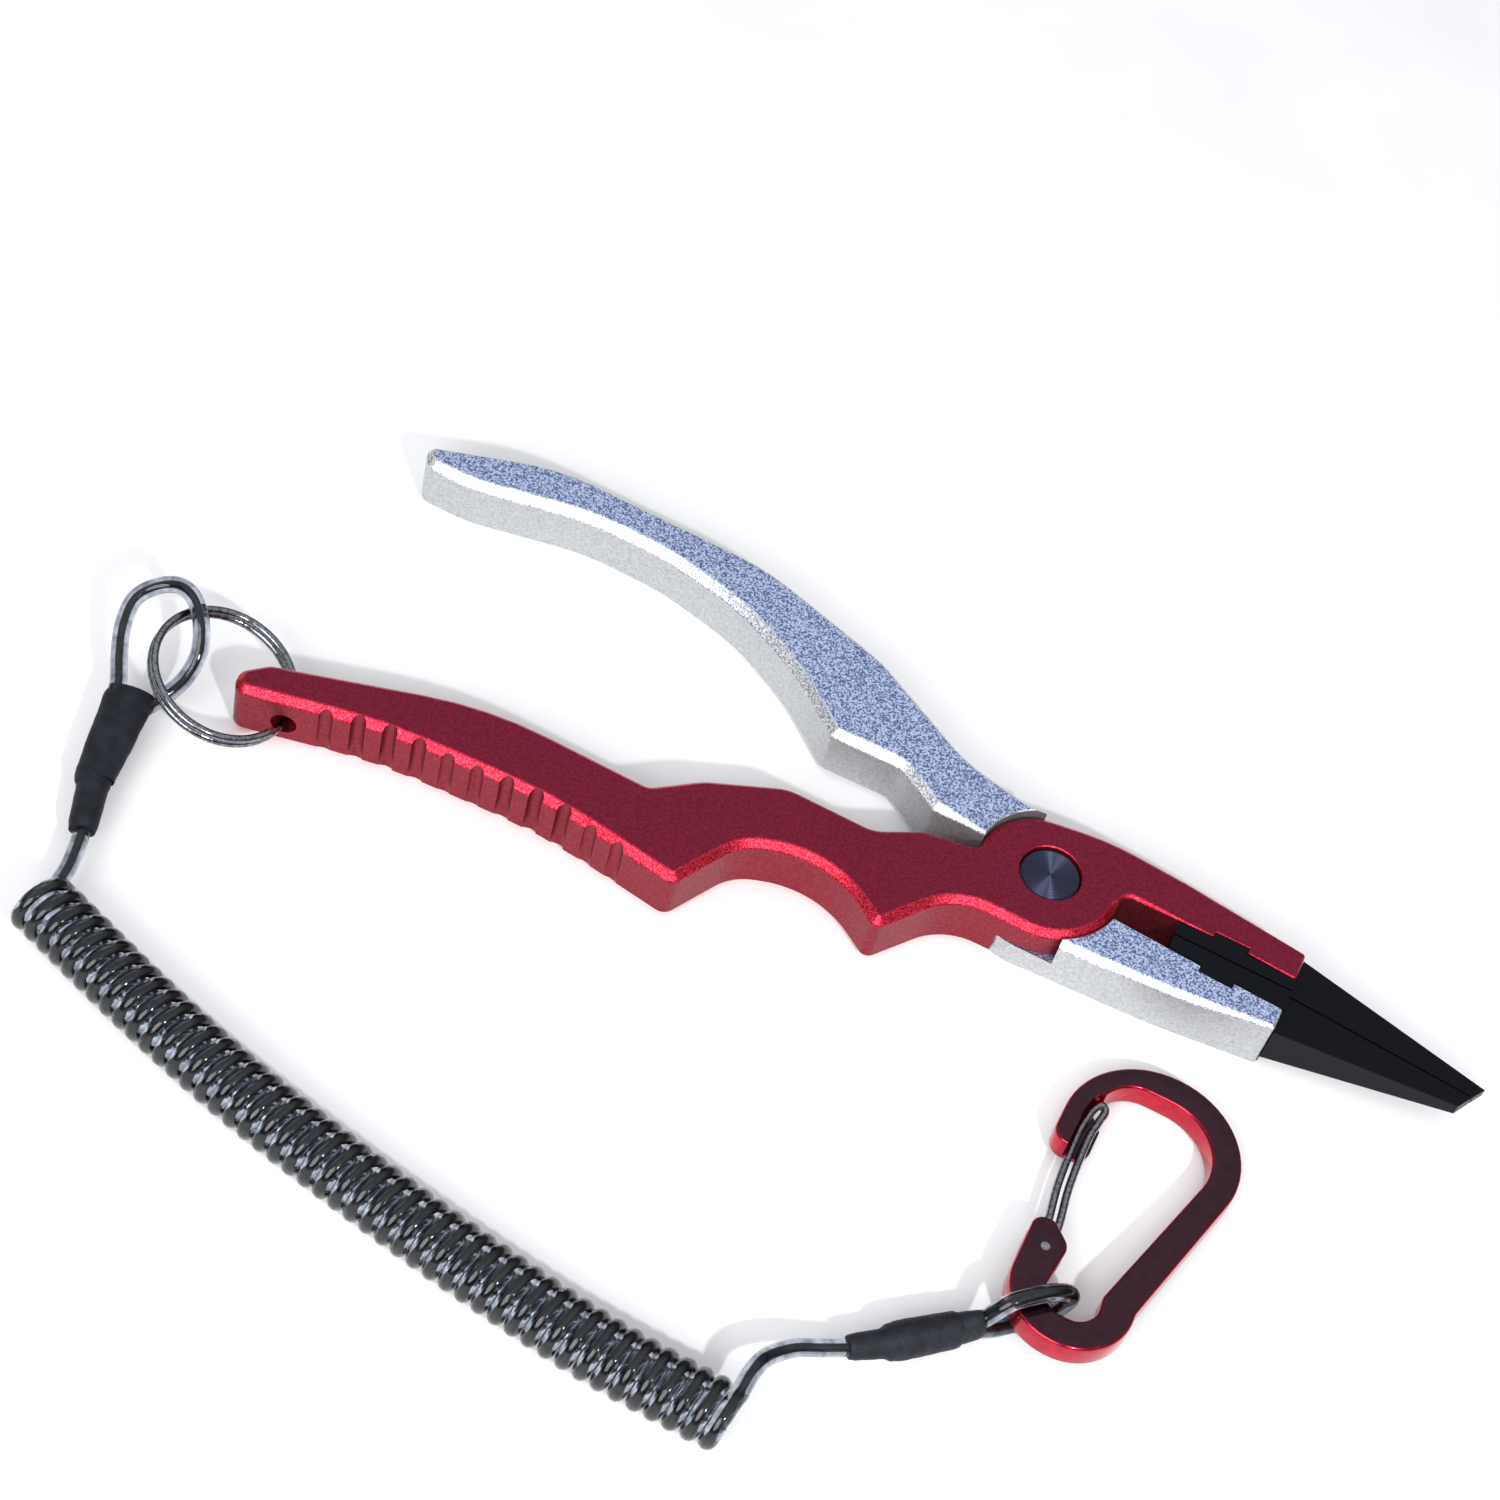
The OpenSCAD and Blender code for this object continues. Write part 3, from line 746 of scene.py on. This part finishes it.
GROOVE_COUNT = 11
GROOVE_START = -110.0
GROOVE_PITCH = 4.95
GROOVE_R = 1.2
GROOVE_DEPTH = 0.8
LANYARD_MID = (-117.35, -31.35, 5.0)
LANYARD_HOLE_R = 2.1

# The red grip's outer wall: two bends as (x, y), the slopes before, between and after them,
# and how far the rounded bends stand back from the straight lines.
GRIP_BENDS = ((-101.5, -31), (-73.4, -29.4))
GRIP_SLOPES = (0.249, 0.057, -0.143)
BEND_REACH = 7
BEND_INSET = 0.3

# The pin as (radius, height), from its foot over the head's rim to the dimple in the middle.
PIN_PROFILE = [
    (3, 2.5), (3, HEAD_BASE), (4.6, HEAD_BASE), (4.75, 8.35), (4.75, 10.2), (4.68, 10.3),
    (4.42, 10.54), (4.34, 10.56), (0.32, 10.6), (0.2, 10.42), (0.02, 10.4),
]


def grip_y(x):
    """The red grip's outer wall line at x."""
    (x1, y1), (x2, y2) = GRIP_BENDS
    if x < x1:
        return y1 + GRIP_SLOPES[0] * (x - x1)
    if x < x2:
        return y1 + GRIP_SLOPES[1] * (x - x1)
    return y2 + GRIP_SLOPES[2] * (x - x2)


def groove_cutter(bm):
    for i in range(GROOVE_COUNT):
        x = GROOVE_START + i * GROOVE_PITCH
        near_bend = any(abs(x - bend[0]) < BEND_REACH for bend in GRIP_BENDS)
        y = grip_y(x) + (BEND_INSET if near_bend else 0) - GROOVE_R + GROOVE_DEPTH
        turned(bm, [(GROOVE_R, -CLEAR), (GROOVE_R, BODY_T + CLEAR)], (x, y), 40)


def lanyard_hole_cutter(bm):
    """The lanyard hole, straight through the grip and turned as the split ring is."""
    reach = 12
    turned(bm, [(LANYARD_HOLE_R, -reach), (LANYARD_HOLE_R, reach)], segments=48)
    lay = Matrix.Rotation(radians(RING_TURN), 4, "Z") @ Matrix.Rotation(radians(90), 4, "X")
    middle = Matrix.Translation(Vector(LANYARD_MID) * MM)
    bmesh.ops.transform(bm, verts=bm.verts, matrix=middle @ lay)


def red_cutter(bm):
    """The hollow for the silver disc, the pin head's recess and the jaw lug's pocket.

    The bores and grooves for the pin, the screws, the spring and the washer are only in the CAD.
    """
    rim = HOLLOW_R + RIM_BEVEL
    turned(bm, [(rim + CLEAR, -CLEAR), (rim, 0), (HOLLOW_R, RIM_BEVEL), (HOLLOW_R, UPPER_BASE)])
    turned(bm, [
        (HEAD_RECESS_R, HEAD_BASE),
        (HEAD_RECESS_R, BODY_T - HEAD_RECESS_MOUTH),
        (HEAD_RECESS_MOUTH_R, BODY_T),
        (HEAD_RECESS_MOUTH_R, BODY_T + CLEAR),
    ])
    block(bm, (LUG_SPAN[0], LUG_REACH[0], -CLEAR), (LUG_SPAN[1], LUG_REACH[1], LUG_TOP))


def silver_cutter(bm):
    """The hollow for the red disc, the pivot screw's recess and the jaw lug's pocket.

    The bores and grooves for the pin, the screws and the spring are only in the CAD.
    """
    rim = HOLLOW_R + RIM_BEVEL
    turned(bm, [
        (HOLLOW_R, LOWER_TOP),
        (HOLLOW_R, BODY_T - RIM_BEVEL),
        (rim, BODY_T),
        (rim + CLEAR, BODY_T + CLEAR),
    ])
    turned(bm, [(SCREW_RECESS_R, -CLEAR), (SCREW_RECESS_R, SCREW_RECESS_TOP)])
    block(bm, (LUG_SPAN[0], -LUG_REACH[1], -CLEAR), (LUG_SPAN[1], -LUG_REACH[0], LUG_TOP))


def rim_relief_cutter(bm):
    """Takes away the thin rim that the hollow would leave under the red disc."""
    (x1, y1), (x2, y2) = RIM_RELIEF
    block(bm, (x1, y1, LOWER_TOP), (x2, y2, BODY_T + CLEAR))


def plate_object(name, outline, material, cutters):
    bm = bmesh.new()
    prism(bm, outline, 0, BODY_T, chamfer)
    obj = mesh_object(name, bm, material)
    for cutter in cutters:
        cut(obj, cutter)
    return obj


def add_halves():
    red_cuts = [groove_cutter, lanyard_hole_cutter, red_cutter]
    red = plate_object("red_handle_and_arm", RED_OUTLINE, RED, red_cuts)
    place(red, "red_body", "red_anodised", "red_half")
    silver_cuts = [silver_cutter, rim_relief_cutter]
    silver = plate_object("silver_handle_and_arm", SILVER_OUTLINE, SILVER, silver_cuts)
    place(silver, "silver_body", "silver_anodised", "silver_half")


def add_pin():
    bm = bmesh.new()
    turned(bm, PIN_PROFILE)
    pin = mesh_object("pivot_pin_head", bm, TURNED)
    place(pin, "red_body", "dark_steel", "pivot_pin")


def dress(node, material, bevel_mm):
    """A CAD node that stays, with its own material and a fine broken edge."""
    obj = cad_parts[node]
    obj.data.materials.clear()
    obj.data.materials.append(material)
    edge = obj.modifiers.new("broken_edge", "BEVEL")
    edge.width = bevel_mm * MM
    edge.segments = 2
    edge.limit_method = "ANGLE"
    edge.angle_limit = radians(40)
    edge.harden_normals = True


add_halves()
add_pin()
dress("upper_jaw", JAW, 0.12)
dress("lower_jaw", JAW, 0.12)
for screw in ("pivot_screw", "upper_jaw_screws", "lower_jaw_screws", "ferrule_a", "ferrule_b"):
    dress(screw, DARK_STEEL, 0.06)
dress("thrust_washer", BRASS, 0.05)
dress("return_spring", SPRING_STEEL, 0.02)
dress("clip_rivet", SPRING_STEEL, 0.08)

# ---- Ring and clip ----


def add_ring():
    """Two turns of wire, the one passing over to the other opposite the open ends."""
    gap = 35
    between_turns = 0.04
    pitch = RING_WIRE + between_turns
    turn = Matrix.Rotation(radians(RING_TURN), 3, "Z")
    lay = turn @ Matrix.Rotation(radians(RING_LEAN), 3, "Y")
    points = []
    for angle in range(gap, 720 - gap + 1, 5):
        t = max(0.0, min(1.0, (angle - 360 + gap) / (2 * gap)))
        height = pitch * (t * t * (3 - 2 * t) - 0.5)
        a = radians(angle)
        points.append(Vector(RING_CENTRE) + lay @ Vector((RING_R * cos(a), RING_R * sin(a), height)))
    ring = tube("split_ring_wire", points, RING_WIRE / 2, BLACK_CHROME, sides=6)
    place(ring, "ring_body", "ring_chrome", "split_ring")


def lean(obj):
    """Leans a clip piece about the line where its top arc touches the surface."""
    foot = Matrix.Translation(Vector((0, CLIP_TOP_Y, 0)) * MM)
    obj.data.transform(foot @ Matrix.Rotation(radians(-CLIP_LEAN), 4, "X") @ foot.inverted())


def clip_cutter(bm):
    """The gate's slot in the lower arm, and the rivet's hole across it."""
    low_x, high_x = GATE_SLOT_X
    low_z, high_z = GATE_SLOT_Z
    low_y = GATE_PIVOT[1] - GATE_SLOT_BACK
    high_y = GATE_PIVOT[1] + GATE_SLOT_FRONT
    block(bm, (low_x, low_y, low_z), (high_x, high_y, high_z))
    turned(bm, [(RIVET_R, RIVET_FOOT), (RIVET_R, CLIP_T + CLEAR)], GATE_PIVOT, 32)


def nose_cutter(bm):
    """The slot in the hook's nose that takes the end of the gate."""
    rings = []
    for z in (GATE_SLOT_Z[0], CLIP_T + GATE_SLOT_Z[0]):
        rings.append([bm.verts.new(Vector((x, y, z)) * MM) for x, y in HOOK_SLOT])
    skin(bm, rings)


def add_clip():
    bm = bmesh.new()
    prism(bm, CLIP_OUTLINE, 0, CLIP_T, round_over)
    clip = mesh_object("clip_frame_bar", bm, CLIP, 40.0)
    cut(clip, clip_cutter, 40.0)
    cut(clip, nose_cutter, 40.0)
    lean(clip)
    place(clip, "clip_frame", "clip_red", "clip_body")


def add_gate():
    flat = catmull([(x, y, GATE_Z) for x, y in GATE_ROUTE], 6)
    wire = tube("clip_gate_wire", flat, GATE_WIRE / 2, BLACK_CHROME, sides=5)
    lean(wire)
    place(wire, "clip_wire", "ring_chrome", "clip_gate")
    rim_r = 1.45
    flat_half = 0.4
    half = GATE_WIRE / 2
    profile = [
        (rim_r, GATE_Z - half), (GATE_EYE_R, GATE_Z - flat_half),
        (GATE_EYE_R, GATE_Z + flat_half), (rim_r, GATE_Z + half),
    ]
    eye = bmesh.new()
    turned(eye, profile, GATE_PIVOT, 32)
    loop = mesh_object("clip_gate_eye", eye, BLACK_CHROME)
    lean(loop)
    place(loop, "clip_wire", "ring_chrome")


add_ring()
add_clip()
add_gate()

# ---- Floor and light ----

LIGHT_TARGET = (-40, -30, 0)
# Lights as (name, place, width in millimetres, power in watts).
LIGHTS = [
    ("key", (-140, -740, 480), 640, 6),
    ("glint", (380, -480, 560), 40, 3.2),
]


def add_floor():
    half = 6000.0
    below = -0.1
    bm = bmesh.new()
    corners = ((-half, -half), (half, -half), (half, half), (-half, half))
    bm.faces.new([bm.verts.new(Vector((x, y, below)) * MM) for x, y in corners])
    floor = mesh_object("floor", bm, floor_paint())


def add_light(name, at, width, power):
    data = bpy.data.lights.new(name, "AREA")
    data.shape = "DISK"
    data.size = width * MM
    data.energy = power
    lamp = bpy.data.objects.new(name, data)
    bpy.context.scene.collection.objects.link(lamp)
    lamp.location = Vector(at) * MM
    look = Vector(LIGHT_TARGET) * MM - lamp.location
    lamp.rotation_euler = look.to_track_quat("-Z", "Y").to_euler()


def add_world():
    """Soft studio surroundings, bright overhead and dimmer towards the horizon."""
    world = bpy.data.worlds.new("studio")
    world.use_nodes = True
    nodes = world.node_tree.nodes
    link = world.node_tree.links.new
    coords = nodes.new("ShaderNodeTexCoord")
    split = nodes.new("ShaderNodeSeparateXYZ")
    link(coords.outputs["Generated"], split.inputs["Vector"])
    ramp = nodes.new("ShaderNodeValToRGB")
    ramp.color_ramp.elements[0].position = 0.3
    ramp.color_ramp.elements[0].color = (0.1, 0.1, 0.11, 1)
    ramp.color_ramp.elements[1].position = 0.75
    ramp.color_ramp.elements[1].color = (0.9, 0.91, 0.94, 1)
    link(split.outputs["Z"], ramp.inputs["Fac"])
    link(ramp.outputs["Color"], nodes["Background"].inputs["Color"])
    bpy.context.scene.world = world


add_floor()
add_world()
for light in LIGHTS:
    add_light(*light)
# The default view transform washes the dark reds out.
bpy.context.scene.view_settings.view_transform = "Standard"
